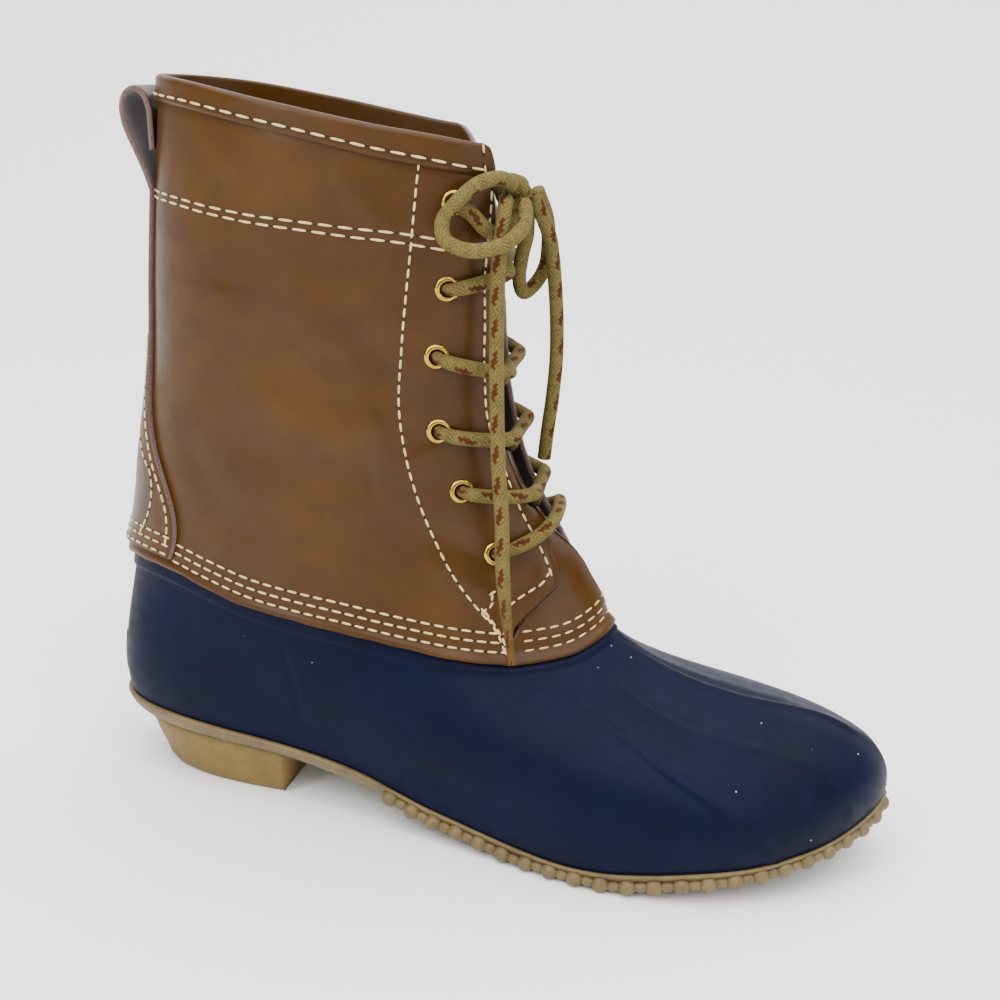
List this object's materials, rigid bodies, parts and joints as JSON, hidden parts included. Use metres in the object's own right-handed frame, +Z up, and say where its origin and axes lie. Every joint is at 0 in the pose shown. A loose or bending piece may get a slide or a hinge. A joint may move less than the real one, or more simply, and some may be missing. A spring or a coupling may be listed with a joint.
{
  "type": "duck boot",
  "caption": "Right-foot duck boot: moulded rubber lower with a chain-lug gum sole and heel, laced leather shaft and a pull loop.",
  "frame": {"origin": "on the floor under the heel's flat underside, on the boot's long middle line", "axes": "+X to the toe, +Y to the medial side, +Z up"},
  "size_m": [0.2949, 0.1063, 0.257],
  "materials": {
    "gum_rubber": "matte moulded gum rubber",
    "ochre_rubber": "matte moulded gum rubber, yellower",
    "navy_rubber": "satin moulded rubber",
    "brown_leather": "smooth oiled pull-up leather",
    "brass": "polished",
    "lace_cord": "round braided cord with brown flecks",
    "insole_cloth": "woven cloth on a thin insole"
  },
  "bodies": {
    "root": {"outsole": "gum_rubber", "heel": "ochre_rubber", "rubber_shell": "navy_rubber", "insole": "insole_cloth", "quarters": "brown_leather", "tongue": "brown_leather", "back_stay": "brown_leather", "eyelet_lateral_1": "brass", "eyelet_lateral_2": "brass", "eyelet_lateral_3": "brass", "eyelet_lateral_4": "brass", "eyelet_lateral_5": "brass", "eyelet_lateral_6": "brass", "eyelet_medial_1": "brass", "eyelet_medial_2": "brass", "eyelet_medial_3": "brass", "eyelet_medial_4": "brass", "eyelet_medial_5": "brass", "eyelet_medial_6": "brass", "lace_cross_1": "lace_cord", "lace_cross_2": "lace_cord", "lace_cross_3": "lace_cord", "lace_cross_4": "lace_cord", "lace_bar": "lace_cord", "lace_knot": "lace_cord", "lace_loop_lateral": "lace_cord", "lace_loop_medial": "lace_cord", "lace_end_lateral": "lace_cord", "lace_end_medial": "lace_cord", "lace_to_knot": "lace_cord"}
  },
  "joints": []
}
